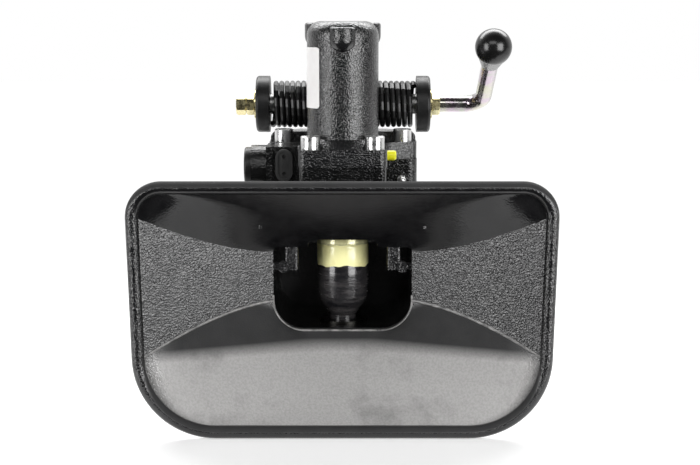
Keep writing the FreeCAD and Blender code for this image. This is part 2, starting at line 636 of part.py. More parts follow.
save(end_bolt, "end_bolt")

# Hand lever: a round rod bent square to the shaft, leaning forward and up.
lever_length = math.hypot(lever_forward, lever_rise)
arm = V(0, -lever_forward / lever_length, lever_rise / lever_length)
bend_from = V(lever_x - lever_bend, shaft_y, shaft_z)
bend_centre = bend_from + arm * lever_bend
bend_to = V(lever_x, shaft_y, shaft_z) + arm * lever_bend
bend_mid = bend_centre + (V(1, 0, 0) - arm).normalize() * lever_bend
knob_at = V(lever_x, shaft_y, shaft_z) + arm * lever_length
rod_tip = knob_at - arm * 6.0
rod_from = V(nut_end, shaft_y, shaft_z)
rod_path = Part.Wire([Part.makeLine(rod_from, bend_from), Part.Arc(bend_from, bend_mid, bend_to).toShape(),
                      Part.makeLine(bend_to, rod_tip)])
lever = rod_path.makePipeShell([Part.Wire([Part.makeCircle(lever_radius, rod_from, V(1, 0, 0))])], True, True)
lever = lever.fuse(rod_x(stud_radius, shaft_end - stud_depth, nut_end + 0.5, shaft_y, shaft_z))
save(lever, "lever_rod")
neck_length = 30.0
knob = Part.makeSphere(knob_radius, knob_at)
knob_neck = Part.makeCone(14.5, 9.4, neck_length - 9.0, knob_at - arm * 9.0, arm * -1.0)
knob_bore = Part.makeCylinder(lever_radius + fit_gap, 60.0, rod_tip, arm * -1.0)
knob = knob.fuse(knob_neck).cut(knob_bore).removeSplitter()
save(knob, "lever_knob")

# Lock plunger with its spring and cap in the left barrel. It is drawn withdrawn from the pin.
collar_inner = lock_shelf - 5.0
collar_outer = collar_inner - 5.0
stem_radius = 4.0
lock_cap_end = lock_end - 6.5
plunger = rod_x(plunger_radius, collar_inner - 1.0, plunger_nose, lock_y, lock_z)
plunger = plunger.fuse(rod_x(12.0, collar_outer, collar_inner, lock_y, lock_z))
plunger = plunger.fuse(rod_x(stem_radius, lock_cap_end + 0.8, collar_inner, lock_y, lock_z)).removeSplitter()
save(plunger, "lock_plunger")
cap_foot = lock_end + 5.0
lock_cap = rod_x(18.0, lock_cap_end, lock_end, lock_y, lock_z)
lock_cap = lock_cap.makeFillet(2.0, [e for e in lock_cap.Edges if e.BoundBox.XMax < lock_cap_end + 1.0])
lock_cap = lock_cap.fuse(rod_x(13.0 - fit_gap, lock_end - 1.0, cap_foot, lock_y, lock_z)).removeSplitter()
lock_cap = lock_cap.cut(rod_x(stem_radius + 0.1, lock_cap_end - 1.0, cap_foot + 1.0, lock_y, lock_z))
save(lock_cap, "lock_cap")
lock_wire = 1.8
lock_length = collar_outer - cap_foot - 2.0 * free_gap - lock_wire
lock_spring = coil(lock_length / 4.0, lock_length, 9.0, lock_wire)
lock_spring.rotate(V(0, 0, 0), V(0, 1, 0), 90.0)
lock_spring.translate(V(cap_foot + free_gap + lock_wire / 2.0, lock_y, lock_z))
save(lock_spring, "lock_spring")

# Small parts on the head.
cover_back = left_front + 2.0
cover_front = cover_back - 5.0
cover_run = cover_rise - cover_half


def oval(half, run, y0, y1):
    flat = box(cover_x - half, cover_x + half, y0, y1, cover_z - run, cover_z + run)
    return flat.fuse([rod_y(half, y0, y1, cover_x, cover_z - run), rod_y(half, y0, y1, cover_x, cover_z + run)])


oval_cover = oval(cover_half, cover_run, cover_front, cover_back).removeSplitter()
oval_cover = oval_cover.cut(oval(cover_half - 2.2, cover_run, cover_front - 1.0, cover_front + 1.5))
for z in (cover_z - cover_run - 1.0, cover_z + cover_run + 1.0):
    oval_cover = oval_cover.cut(rod_y(1.8, cover_front, cover_back - 1.0, cover_x, z))
save(oval_cover, "oval_cover")
plug = rod_x(plug_radius, block_half_width, block_half_width + 9.0, plug_y, plug_z)
plug = plug.makeFillet(2.0, [e for e in plug.Edges if e.BoundBox.XMin > block_half_width + 8.0])
plug = plug.fuse(rod_x(3.2 - fit_gap, block_half_width - 8.0, block_half_width + 1.0, plug_y, plug_z))
save(plug, "port_plug")
nipple = rod_y(3.0, ear_front - 1.0, ear_front + 8.0, nipple_x, nipple_z)
nipple = nipple.fuse(rod_y(4.5, ear_front - 4.0, ear_front, nipple_x, nipple_z))
nipple = nipple.fuse(Part.makeCone(2.4, 3.2, 3.0, V(nipple_x, ear_front - 4.0, nipple_z), V(0, -1, 0)))
nipple = nipple.fuse(Part.makeSphere(3.2, V(nipple_x, ear_front - 8.0, nipple_z)))
save(nipple, "grease_nipple")
label_low = 165.0
label_high = 221.0
label_skin = 0.3
label_corner = 3.0
label = rod_z(tower_radius + label_skin, label_low, label_high, 0.0, 0.0)
label = label.cut(rod_z(tower_radius + 0.02, label_low - 1.0, label_high + 1.0, 0.0, 0.0))
label_cut = [(-60.0, -1.0), (-60.0, -60.0 * math.tan(math.radians(50.0))), (0.0, 0.0), (-20.0, -1.0)]
label = label.common(plate_z(label_cut, label_low - 1.0, label_high + 1.0))
label = label.makeFillet(label_corner, [e for e in label.Edges if e.Length < 1.0])
save(label, "blank_label")

trigger = link_x(trigger_y, trigger_z, 10.0, 63.0, 20.0, 6.0, -trigger_half, trigger_half)
trigger = trigger.fuse(link_x(trigger_y, trigger_z, 10.0, 87.0, 103.0, 6.0, -trigger_half, trigger_half))
trigger = trigger.removeSplitter().cut(rod_x(pivot_radius + fit_gap, -20.0, 20.0, trigger_y, trigger_z))
save(trigger, "trigger_lever")
save(rod_x(pivot_radius, 1.0 - block_half_width + 1.0, 29.5, trigger_y, trigger_z), "trigger_pivot")

# Mounting: flange housing with bushes, buffers, thrust plates and the shank nut.
plate_front = pin_to_flange - flange_thickness
hub_front = plate_front - flange_hub
spigot_end = pin_to_flange + spigot_length
housing = box(-flange_half_x, flange_half_x, plate_front, pin_to_flange, -flange_half_z, flange_half_z)
housing_corners = [e for e in housing.Edges if abs(e.BoundBox.YLength - flange_thickness) < 0.1]
housing = housing.makeFillet(20.0, housing_corners)
housing = housing.fuse([rod_y(54.0, hub_front, plate_front + 1.0, 0.0, 0.0),
                        rod_y(spigot_radius, pin_to_flange - 1.0, spigot_end, 0.0, 0.0)])
sleeve_radius = shank_radius + bush_wall
housing = housing.cut(rod_y(sleeve_radius + fit_gap, hub_front - 1.0, spigot_end + 1.0, 0.0, 0.0))
for x in (-bolt_spacing_x / 2.0, bolt_spacing_x / 2.0):
    for z in (-bolt_spacing_z / 2.0, bolt_spacing_z / 2.0):
        housing = housing.cut(rod_y(bolt_hole_radius, plate_front - 1.0, pin_to_flange + 1.0, x, z))
housing = housing.removeSplitter()
save(housing, "flange_housing")


def ring_y(inner, outer, y0, y1):
    return rod_y(outer, y0, y1, 0.0, 0.0).cut(rod_y(inner, y0 - 1.0, y1 + 1.0, 0.0, 0.0))


washer_front = body_back + 6.0
save(ring_y(shank_radius + fit_gap, sleeve_radius, hub_front, hub_front + 39.0), "front_bush")
save(ring_y(shank_radius + fit_gap, sleeve_radius, spigot_end - 39.0, spigot_end), "rear_bush")
save(ring_y(shank_radius + fit_gap, 48.0, washer_front, washer_front + 5.0), "front_thrust_washer")
save(ring_y(shank_radius + 2.0, 50.0, washer_front + 5.0, hub_front), "front_buffer")
rear_plate = spigot_end + 28.0
nut_seat = shank_end - 45.0
save(ring_y(shank_radius + 2.0, spigot_radius - 1.0, spigot_end, rear_plate), "rear_buffer")
save(ring_y(shank_radius + fit_gap, spigot_radius - 1.0, rear_plate, nut_seat), "rear_thrust_plate")
castle = hexagon_x(72.0, 0.0, 28.0, 0.0, 0.0)
castle.rotate(V(0, 0, 0), V(0, 0, 1), 90.0)
castle.translate(V(0, nut_seat, 0))
castle = castle.fuse(rod_y(33.0, nut_seat + 27.0, split_y + 5.0, 0.0, 0.0))
castle = castle.cut(rod_y(thread_radius + fit_gap, nut_seat - 1.0, shank_end, 0.0, 0.0))
for i in range(3):
    gap = box(-3.5, 3.5, split_y - 4.0, shank_end, -45.0, 45.0)
    gap.rotate(V(0, split_y, 0), V(0, 1, 0), 60.0 * i)
    castle = castle.cut(gap)
save(castle, "castle_nut")
split_eye = Part.makeTorus(4.5, 2.4, V(0, split_y, 38.0), V(1, 0, 0))
split_pin = rod_z(split_radius, -36.0, 36.0, 0.0, split_y).fuse(split_eye)
save(split_pin, "split_pin")
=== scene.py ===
import math
import bpy
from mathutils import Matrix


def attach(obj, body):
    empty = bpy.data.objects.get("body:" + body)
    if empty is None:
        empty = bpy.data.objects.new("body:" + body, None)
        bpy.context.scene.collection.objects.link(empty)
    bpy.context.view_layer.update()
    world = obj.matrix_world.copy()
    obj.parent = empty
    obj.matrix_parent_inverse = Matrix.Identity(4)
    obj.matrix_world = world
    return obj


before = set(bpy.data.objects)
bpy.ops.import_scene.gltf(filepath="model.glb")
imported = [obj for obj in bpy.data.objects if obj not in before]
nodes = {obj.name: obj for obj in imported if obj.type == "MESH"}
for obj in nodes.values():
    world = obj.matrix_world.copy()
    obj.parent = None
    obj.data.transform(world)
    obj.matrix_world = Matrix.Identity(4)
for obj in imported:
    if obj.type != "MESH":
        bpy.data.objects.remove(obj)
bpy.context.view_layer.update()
print("frame loaded", len(nodes), "nodes")


# node helpers for the finishes
def newFinish(name):
    mat = bpy.data.materials.new(name)
    mat.use_nodes = True
    tree = mat.node_tree
    shader = tree.nodes["Principled BSDF"]
    coord = tree.nodes.new("ShaderNodeTexCoord")
    return mat, tree, shader, coord


def feed(tree, value, socket):
    if isinstance(value, bpy.types.NodeSocket):
        tree.links.new(value, socket)
    else:
        socket.default_value = value


def addMath(tree, operation, first, second, clamp=False):
    node = tree.nodes.new("ShaderNodeMath")
    node.operation = operation
    node.use_clamp = clamp
    feed(tree, first, node.inputs[0])
    feed(tree, second, node.inputs[1])
    return node.outputs["Value"]


def addRange(tree, source, fromSpan=(0.0, 1.0), toSpan=(0.0, 1.0)):
    node = tree.nodes.new("ShaderNodeMapRange")
    node.inputs["From Min"].default_value, node.inputs["From Max"].default_value = fromSpan
    node.inputs["To Min"].default_value, node.inputs["To Max"].default_value = toSpan
    tree.links.new(source, node.inputs["Value"])
    return node.outputs["Result"]


def addParts(tree, source):
    node = tree.nodes.new("ShaderNodeSeparateXYZ")
    tree.links.new(source, node.inputs["Vector"])
    return node.outputs


def addMix(tree, factor, first, second):
    node = tree.nodes.new("ShaderNodeMix")
    node.data_type = "RGBA"
    feed(tree, factor, node.inputs["Factor"])
    feed(tree, first, node.inputs["A"])
    feed(tree, second, node.inputs["B"])
    return node.outputs["Result"]


def addNoise(tree, coord, scale, detail=3.0, roughness=0.55, stretch=(1, 1, 1)):
    mapping = tree.nodes.new("ShaderNodeMapping")
    mapping.inputs["Scale"].default_value = stretch
    tree.links.new(coord.outputs["Object"], mapping.inputs["Vector"])
    noise = tree.nodes.new("ShaderNodeTexNoise")
    noise.inputs["Scale"].default_value = scale
    noise.inputs["Detail"].default_value = detail
    noise.inputs["Roughness"].default_value = roughness
    tree.links.new(mapping.outputs["Vector"], noise.inputs["Vector"])
    return noise.outputs["Fac"]


def addRamp(tree, source, stops):
    ramp = tree.nodes.new("ShaderNodeValToRGB")
    elements = ramp.color_ramp.elements
    while len(elements) < len(stops):
        elements.new(0.5)
    for element, (place, colour) in zip(elements, stops):
        element.position = place
        element.color = (*colour, 1.0)
    tree.links.new(source, ramp.inputs["Fac"])
    return ramp.outputs["Color"]


def addTone(tree, source, first, last, span=(0.3, 0.7)):
    return addRamp(tree, source, [(span[0], first), (span[1], last)])


def addBump(tree, shader, heights, strength, distance, mask=None):
    normal = None
    for height, share in heights:
        bump = tree.nodes.new("ShaderNodeBump")
        amount = strength * share
        feed(tree, addMath(tree, "MULTIPLY", mask, amount) if mask else amount, bump.inputs["Strength"])
        bump.inputs["Distance"].default_value = distance
        tree.links.new(height, bump.inputs["Height"])
        if normal:
            tree.links.new(normal, bump.inputs["Normal"])
        normal = bump.outputs["Normal"]
    tree.links.new(normal, shader.inputs["Normal"])


def addSeen(tree):
    path = tree.nodes.new("ShaderNodeLightPath")
    total = 0.0
    for ray in ("Is Camera Ray", "Is Glossy Ray", "Is Transmission Ray"):
        total = addMath(tree, "ADD", path.outputs[ray], total, True)
    return total


def grey(value):
    return (value, value, value)


# painted casting: black paint over a sand-cast skin
castPaint = {
    "dark": (0.004, 0.004, 0.0045), "light": (0.009, 0.009, 0.0095),
    "toneScale": 60, "toneDetail": 4, "toneSpan": (0.35, 0.7),
    "gloss": 0.12, "glossScale": 90, "shiniest": -0.04, "dullest": 0.12,
    "specular": 0.70, "coat": 0.10, "coatRoughness": 0.22,
    "grainScale": 680, "grainDetail": 1.0, "grainRoughness": 0.5, "grainDepth": 0.0008, "grainStrength": 0.88,
    "swellScale": 0.22, "swellDetail": 2.0, "swellShare": 0.12,
    "smoothFacing": (-0.16, -0.03), "smoothShare": 0.15,
}
# darker copy of the cast paint for the coupling body: painted shade for the throat and front block, which sit in
# shade
shadedBodyPaint = {**castPaint, "dark": grey(0.003), "light": grey(0.006), "grainStrength": 0.75, "specular": 0.55,
             "coat": 0.0}
jawPaint = {**castPaint, "coat": 0.0}
# dust and rubbed paint on the floor of the jaw; the light grey is partly dust and partly painted sheen of the
# overhead light on that floor, and it leaves out a band just below the throat as painted shade under the upper
# lip
jawDustAndSheen = {
    # the height span keeps the grey off a band just below the throat: painted shade under the upper lip
    "colour": (0.31, 0.305, 0.30), "upFacingSpan": (-0.02, 0.15), "heights": (-0.045, -0.056),
    "front": -0.2790, "frontFade": 0.003,
    "patchScale": 22, "patchDetail": 5, "patchStops": [(0.30, grey(0.70)), (0.46, grey(1.0))],
    "speckScale": 520, "speckDetail": 2, "speckStops": [(0.36, grey(0.84)), (0.60, grey(1.0))],
    "roughness": 0.6, "rubbedFacing": (0.08, 0.28), "rubbedShare": 0.3, "matte": 0.85,
}


def addDustAndSheen(tree, coord, facing, paint, cfg):
    place = addParts(tree, coord.outputs["Object"])
    facingUp = addRange(tree, facing, cfg["upFacingSpan"])  # dust and painted sheen on what looks up, low in the jaw
    # none just below the throat: that dark band is painted shade under the upper lip
    low = addRange(tree, place["Z"], cfg["heights"])
    inside = addRange(tree, place["Y"], (cfg["front"], cfg["front"] + cfg["frontFade"]))
    dustAndSheenZone = addMath(tree, "MULTIPLY", addMath(tree, "MULTIPLY", facingUp, low), inside)
    patchNoise = addNoise(tree, coord, cfg["patchScale"], cfg["patchDetail"], cfg["roughness"])
    speckNoise = addNoise(tree, coord, cfg["speckScale"], cfg["speckDetail"], cfg["roughness"])
    patches = addRamp(tree, patchNoise, cfg["patchStops"])
    specks = addRamp(tree, speckNoise, cfg["speckStops"])
    sandy = addMath(tree, "MULTIPLY", patches, specks)
    amount = addMath(tree, "MULTIPLY", dustAndSheenZone, sandy)
    return addMix(tree, amount, paint, (*cfg["colour"], 1.0))


def makeCastPaint(name, cfg, dustAndSheen=None):
    mat, tree, shader, coord = newFinish(name)
    facing = addParts(tree, coord.outputs["Normal"])["Z"]
    tone = addNoise(tree, coord, cfg["toneScale"], cfg["toneDetail"])
    paint = addTone(tree, tone, cfg["dark"], cfg["light"], cfg["toneSpan"])
    shine = addTone(tree, addNoise(tree, coord, cfg["glossScale"]), grey(cfg["gloss"] + cfg["shiniest"]),
                    grey(cfg["gloss"] + cfg["dullest"]))
    # what looks down was cast smoother
    coarse = addRange(tree, facing, cfg["smoothFacing"], (cfg["smoothShare"], 1.0))
    if dustAndSheen:
        # what looks up is rubbed smoother and is matte
        rubbed = addRange(tree, facing, dustAndSheen["rubbedFacing"], (1.0, dustAndSheen["rubbedShare"]))
        matte = addRange(tree, facing, dustAndSheen["rubbedFacing"], (0.0, dustAndSheen["matte"]))
        # mix in the floor grey, which is partly dust and partly painted sheen of the overhead light
        paint = addDustAndSheen(tree, coord, facing, paint, dustAndSheen)
        coarse = addMath(tree, "MULTIPLY", coarse, rubbed)
        shine = addMath(tree, "MAXIMUM", shine, matte)
    grain = addNoise(tree, coord, cfg["grainScale"], cfg["grainDetail"], cfg["grainRoughness"])
    swell = addNoise(tree, coord, cfg["grainScale"] * cfg["swellScale"], cfg["swellDetail"])
    addBump(tree, shader, [(grain, 1.0), (swell, cfg["swellShare"])], cfg["grainStrength"], cfg["grainDepth"],
            coarse)
    tree.links.new(paint, shader.inputs["Base Color"])
    tree.links.new(shine, shader.inputs["Roughness"])
    shader.inputs["Specular IOR Level"].default_value = cfg["specular"]
    shader.inputs["Coat Weight"].default_value = cfg["coat"]
    shader.inputs["Coat Roughness"].default_value = cfg["coatRoughness"]
    return mat


# smooth black enamel on springs and caps, and a light grey on the sill and ridges that paints the highlight along
# those rounded edges
enamel = {"dark": grey(0.005), "light": grey(0.010), "specular": 0.32, "gloss": 0.26, "dullest": 0.1,
          "toneScale": 120, "skinScale": 260, "skinDetail": 2, "skinStrength": 0.12, "skinDepth": 0.0004}
capEnamel = {**enamel, "gloss": 0.34}
# light grey edge paint: a painted highlight on the rounded sill and ridges
edgeHighlight = {**enamel, "dark": grey(0.05), "light": (0.26, 0.255, 0.25), "specular": 0.5, "gloss": 0.25}


def makeEnamel(name, cfg):
    mat, tree, shader, coord = newFinish(name)
    tone = addNoise(tree, coord, cfg["toneScale"])
    skin = addNoise(tree, coord, cfg["skinScale"], cfg["skinDetail"])
    shine = addTone(tree, skin, grey(cfg["gloss"]), grey(cfg["gloss"] + cfg["dullest"]))
    tree.links.new(addTone(tree, tone, cfg["dark"], cfg["light"]), shader.inputs["Base Color"])
    tree.links.new(shine, shader.inputs["Roughness"])
    addBump(tree, shader, [(skin, 1.0)], cfg["skinStrength"], cfg["skinDepth"])
    shader.inputs["Specular IOR Level"].default_value = cfg["specular"]
    return mat


# plated and bare metals: colour stops, roughness and small dents
metal = {"toneScale": 70, "wearScale": 220, "wearDetail": 4, "shiniest": -0.05, "dullest": 0.12,
         "dent": 0.08, "dentDepth": 0.0003}
zincBright = {**metal, "stops": [(0.3, grey(0.55)), (0.7, (0.80, 0.80, 0.79))], "gloss": 0.27}
zincYellow = {**metal, "stops": [(0.3, (0.60, 0.52, 0.28)), (0.5, (0.70, 0.62, 0.34)), (0.7, (0.64, 0.60, 0.36))],
              "gloss": 0.22, "toneScale": 55}
zincPearl = {**metal, "stops": [(0.30, (0.42, 0.40, 0.29)), (0.44, (0.47, 0.46, 0.39)),
                                (0.56, (0.46, 0.38, 0.45)), (0.70, (0.37, 0.43, 0.33))],
             "gloss": 0.15, "toneScale": 32, "dent": 0.01}
bareSteel = {**metal, "stops": [(0.3, grey(0.28)), (0.7, (0.42, 0.42, 0.41))], "gloss": 0.35}
bronze = {**metal, "stops": [(0.3, (0.42, 0.28, 0.11)), (0.7, (0.60, 0.42, 0.18))], "gloss": 0.38}
oiledSteel = {**metal, "stops": [(0.3, (0.015, 0.015, 0.014)), (0.7, (0.05, 0.048, 0.044))], "gloss": 0.25}
bushSteel = {**metal, "stops": [(0.3, (0.30, 0.28, 0.20)), (0.7, (0.42, 0.40, 0.30))], "gloss": 0.35}


def makeMetal(name, cfg):
    mat, tree, shader, coord = newFinish(name)
    tone = addNoise(tree, coord, cfg["toneScale"])
    wear = addNoise(tree, coord, cfg["wearScale"], cfg["wearDetail"])
    shine = addTone(tree, wear, grey(cfg["gloss"] + cfg["shiniest"]), grey(cfg["gloss"] + cfg["dullest"]))
    tree.links.new(addRamp(tree, tone, cfg["stops"]), shader.inputs["Base Color"])
    tree.links.new(shine, shader.inputs["Roughness"])
    addBump(tree, shader, [(wear, 1.0)], cfg["dent"], cfg["dentDepth"])
    shader.inputs["Metallic"].default_value = 1.0
    return mat


# plastics and rubber
plastic = {"toneScale": 90, "skinScale": 500, "skinDetail": 2, "skinDepth": 0.0003, "dullest": 0.06}
knobPlastic = {**plastic, "dark": grey(0.005), "light": grey(0.009), "gloss": 0.20, "skinStrength": 0.04}
plugPlastic = {**plastic, "dark": (0.90, 0.86, 0.015), "light": (0.94, 0.91, 0.03), "gloss": 0.30,
               "skinStrength": 0.05}
bufferRubber = {**plastic, "dark": grey(0.012), "light": grey(0.022), "gloss": 0.50, "skinStrength": 0.15}
labelFilm = {**plastic, "dark": (0.88, 0.86, 0.85), "light": (0.93, 0.92, 0.91), "gloss": 0.35,
             "skinStrength": 0.03}


def makePlastic(name, cfg):
    mat, tree, shader, coord = newFinish(name)
    tone = addNoise(tree, coord, cfg["toneScale"])
    skin = addNoise(tree, coord, cfg["skinScale"], cfg["skinDetail"])
    shine = addTone(tree, tone, grey(cfg["gloss"]), grey(cfg["gloss"] + cfg["dullest"]))
    tree.links.new(addTone(tree, tone, cfg["dark"], cfg["light"]), shader.inputs["Base Color"])
    tree.links.new(shine, shader.inputs["Roughness"])
    addBump(tree, shader, [(skin, 1.0)], cfg["skinStrength"], cfg["skinDepth"])
    return mat


# coupling pin: dark oiled steel with wet streaks; above, a film of grease up the guide, crossed by a painted
# shade line
pinSteel = {
    "dark": (0.012, 0.012, 0.014), "light": (0.07, 0.065, 0.065), "steelSpan": (0.35, 0.75), "metallic": 0.25,
    "gloss": 0.12, "dullest": 0.2, "coat": 0.6, "coatRoughness": 0.06,
    "smearScale": 130, "smearDetail": 5, "smearRoughness": 0.65, "smearStretch": (0.35, 0.35, 1.6),
    "smearStrength": 0.35, "smearDepth": 0.0008,
    "olive": (0.30, 0.28, 0.11), "cream": (0.88, 0.85, 0.48),
    "filmFrom": 0.034, "filmStart": 0.002, "filmTo": 0.052, "filmEnd": 0.01,
    # a dark band painted on the pin as the shade in the gap above the grease
    "gapShadeAt": 0.0415, "gapShadeSpan": (0.0003, 0.0009), "gapShadeEnd": 0.0012,
}


def makePinSteel(name, cfg):
    mat, tree, shader, coord = newFinish(name)
    smear = addNoise(tree, coord, cfg["smearScale"], cfg["smearDetail"], cfg["smearRoughness"],
                     cfg["smearStretch"])
    steel = addTone(tree, smear, cfg["dark"], cfg["light"], cfg["steelSpan"])
    height = addParts(tree, coord.outputs["Object"])["Z"]
    bottom, top = cfg["filmFrom"], cfg["filmTo"]
    film = addRamp(tree, height, [(bottom, grey(0)), (bottom + cfg["filmStart"], grey(1)),
                                  (top, grey(1)), (top + cfg["filmEnd"], grey(0))])
    gapShadeLevel = cfg["gapShadeAt"]
    darkFrom, darkTo = cfg["gapShadeSpan"]
    # cream, then a dark line that paints the shade in the gap above the grease, then a darker olive higher up
    hue = addRamp(tree, height, [(gapShadeLevel, cfg["cream"]), (gapShadeLevel + darkFrom, cfg["dark"]),
                                 (gapShadeLevel + darkTo, cfg["dark"]), (gapShadeLevel + cfg["gapShadeEnd"], cfg["olive"])])
    shine = addTone(tree, smear, grey(cfg["gloss"]), grey(cfg["gloss"] + cfg["dullest"]))
    tree.links.new(addMix(tree, film, steel, hue), shader.inputs["Base Color"])
    tree.links.new(shine, shader.inputs["Roughness"])
    addBump(tree, shader, [(smear, 1.0)], cfg["smearStrength"], cfg["smearDepth"])
    shader.inputs["Metallic"].default_value = cfg["metallic"]
    shader.inputs["Coat Weight"].default_value = cfg["coat"]
    shader.inputs["Coat Roughness"].default_value = cfg["coatRoughness"]
    return mat


castFinish = makeCastPaint("castPaint", castPaint)
shadedBodyFinish = makeCastPaint("shadedBodyPaint", shadedBodyPaint)
jawFinish = makeCastPaint("jawPaint", jawPaint, jawDustAndSheen)
enamelFinish = makeEnamel("springEnamel", enamel)
capFinish = makeEnamel("capEnamel", capEnamel)
edgeHighlightFinish = makeEnamel("edgeHighlightPaint", edgeHighlight)
zincFinish = makeMetal("brightZinc", zincBright)
yellowFinish = makeMetal("yellowZinc", zincYellow)
pearlFinish = makeMetal("pearlZinc", zincPearl)
steelFinish = makeMetal("machinedSteel", bareSteel)
bronzeFinish = makeMetal("bushBronze", bronze)
bushFinish = makeMetal("bushSteel", bushSteel)
oiledFinish = makeMetal("oiledSteel", oiledSteel)
knobFinish = makePlastic("knobPlastic", knobPlastic)
plugFinish = makePlastic("plugPlastic", plugPlastic)
rubberFinish = makePlastic("bufferRubber", bufferRubber)
labelFinish = makePlastic("labelFilm", labelFilm)
pinFinish = makePinSteel("pinSteel", pinSteel)
print("finishes made")

finishOf = {
    "catch_jaw": jawFinish, "coupling_body": shadedBodyFinish, "mechanism_tower": castFinish,
    "flange_housing": castFinish,
    "jaw_bolts": zincFinish, "front_tower_screws": zincFinish, "rear_tower_screws": zincFinish,
    "grease_nipple": zincFinish, "castle_nut": steelFinish, "split_pin": steelFinish,
    "upper_bush": bushFinish, "lower_bush": oiledFinish, "coupling_pin": pinFinish,
    "release_shaft": steelFinish, "lift_crank": steelFinish, "crank_key": steelFinish, "lift_pin": steelFinish,
    "lock_plunger": steelFinish, "trigger_lever": steelFinish, "trigger_pivot": steelFinish,
    "front_thrust_washer": steelFinish, "rear_thrust_plate": steelFinish,
    "left_shaft_bush": bronzeFinish, "right_shaft_bush": bronzeFinish, "front_bush": bronzeFinish,
    "rear_bush": bronzeFinish,
    "left_torsion_spring": enamelFinish, "right_torsion_spring": enamelFinish, "lock_spring": enamelFinish,
    "left_spring_cap": capFinish, "right_spring_cap": capFinish, "lock_cap": capFinish,
    "left_washer": yellowFinish, "right_washer": yellowFinish, "left_lock_nut": yellowFinish,
    "right_lock_nut": yellowFinish, "end_bolt": yellowFinish, "lever_rod": pearlFinish,
    "lever_knob": knobFinish, "oval_cover": rubberFinish, "front_buffer": rubberFinish,
    "rear_buffer": rubberFinish, "port_plug": plugFinish, "blank_label": labelFinish,
}
for nodeName, finish in finishOf.items():
    mesh = nodes[nodeName].data
    mesh.materials.clear()
    mesh.materials.append(finish)
print("finishes set on", len(finishOf), "nodes")

# cream grease round the upper barrel of the pin, with a soft uneven lower edge
greaseCoat = {
    "centre": (0.0, -0.165), "radius": 0.02482, "thickness": 0.0012, "bottom": 0.0105, "top": 0.0385,
    "around": 24, "cuts": 5, "wiped": (-0.0018, 0.0178), "wipedTop": 0.0300,
    "sag": 0.0028, "sagPower": 2, "edgeRound": 0.0016, "edgePower": 6, "hollow": 0.0003,
    "waves": [(0.5, 3, 0.6), (0.3, 5, 2.1), (0.2, 11, 0.0)],  # share, waves round the pin, start
    "ripples": [(4, 9), (7, -4)],  # waves round the pin and down it
    "thin": (0.76, 0.71, 0.31), "thick": (0.92, 0.88, 0.45), "toneSpan": (0.30, 0.48),
    "thinRoughness": 0.30, "thickRoughness": 0.18, "coat": 0.5,
    "blobScale": 70, "blobDetail": 4, "blobRoughness": 0.55, "blobStretch": (1, 1, 0.7),
    "blobStrength": 0.5, "blobDepth": 0.0015,
}


def makeGreaseFinish(cfg):
    mat, tree, shader, coord = newFinish("creamGrease")
    blobs = addNoise(tree, coord, cfg["blobScale"], cfg["blobDetail"], cfg["blobRoughness"], cfg["blobStretch"])
    tone = addTone(tree, blobs, cfg["thin"], cfg["thick"], cfg["toneSpan"])
    shine = addTone(tree, blobs, grey(cfg["thinRoughness"]), grey(cfg["thickRoughness"]))
    tree.links.new(tone, shader.inputs["Base Color"])
    tree.links.new(shine, shader.inputs["Roughness"])
    addBump(tree, shader, [(blobs, 1.0)], cfg["blobStrength"], cfg["blobDepth"])
    shader.inputs["Coat Weight"].default_value = cfg["coat"]
    return mat


def wipeGrease(coat, cfg):
    x, y = cfg["centre"]
    nearSide, farSide = cfg["wiped"]
    bpy.ops.mesh.select_mode(type="FACE")
    bpy.ops.mesh.select_all(action="DESELECT")
    bpy.ops.object.mode_set(mode="OBJECT")
    for face in coat.data.polygons:  # wiped off round the pocket on the left, where the lock enters
        across = nearSide < face.center.y - y < farSide
        face.select = face.center.x < x and across and face.center.z < cfg["wipedTop"]
    bpy.ops.object.mode_set(mode="EDIT")
    bpy.ops.mesh.delete(type="FACE")
    bpy.ops.mesh.select_mode(type="VERT")
    bpy.ops.object.mode_set(mode="OBJECT")


def shapeGrease(coat, cfg, height):
    x, y = cfg["centre"]
    (turnsUp, runsUp), (turnsDown, runsDown) = cfg["ripples"]
    for vertex in coat.data.vertices:
        turn = math.atan2(vertex.co.y - y, vertex.co.x - x)
        low = (cfg["top"] - vertex.co.z) / height
        wave = 0.0
        for share, count, start in cfg["waves"]:
            wave += share * math.sin(count * turn + start)
        ripple = math.sin(turnsUp * turn + runsUp * low) * math.cos(turnsDown * turn + runsDown * low)
        reach = cfg["radius"] - cfg["hollow"] * (0.5 + 0.5 * ripple) - cfg["edgeRound"] * low ** cfg["edgePower"]
        vertex.co.x = x + reach * math.cos(turn)
        vertex.co.y = y + reach * math.sin(turn)
        vertex.co.z += cfg["sag"] * wave * low ** cfg["sagPower"]


def makeGreaseCoat(cfg):
    height = cfg["top"] - cfg["bottom"]
    bpy.ops.object.select_all(action="DESELECT")
    bpy.ops.mesh.primitive_cylinder_add(vertices=cfg["around"], radius=cfg["radius"], depth=height,
                                        end_fill_type="NOTHING",
                                        location=(*cfg["centre"], cfg["bottom"] + height / 2))
    coat = bpy.context.object
    coat.name = "greaseCoat"
    bpy.ops.object.transform_apply(location=True, rotation=False, scale=False)
    bpy.ops.object.mode_set(mode="EDIT")
    bpy.ops.mesh.select_all(action="SELECT")
    bpy.ops.mesh.subdivide(number_cuts=cfg["cuts"])
    wipeGrease(coat, cfg)
    shapeGrease(coat, cfg, height)
    wall = coat.modifiers.new("wall", "SOLIDIFY")
    wall.thickness = cfg["thickness"]
    wall.offset = -1
    bpy.ops.object.modifier_apply(modifier=wall.name)
    bpy.ops.object.shade_smooth()
    coat.data.materials.append(makeGreaseFinish(cfg))
    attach(coat, "pin")


makeGreaseCoat(greaseCoat)
print("grease coat made")

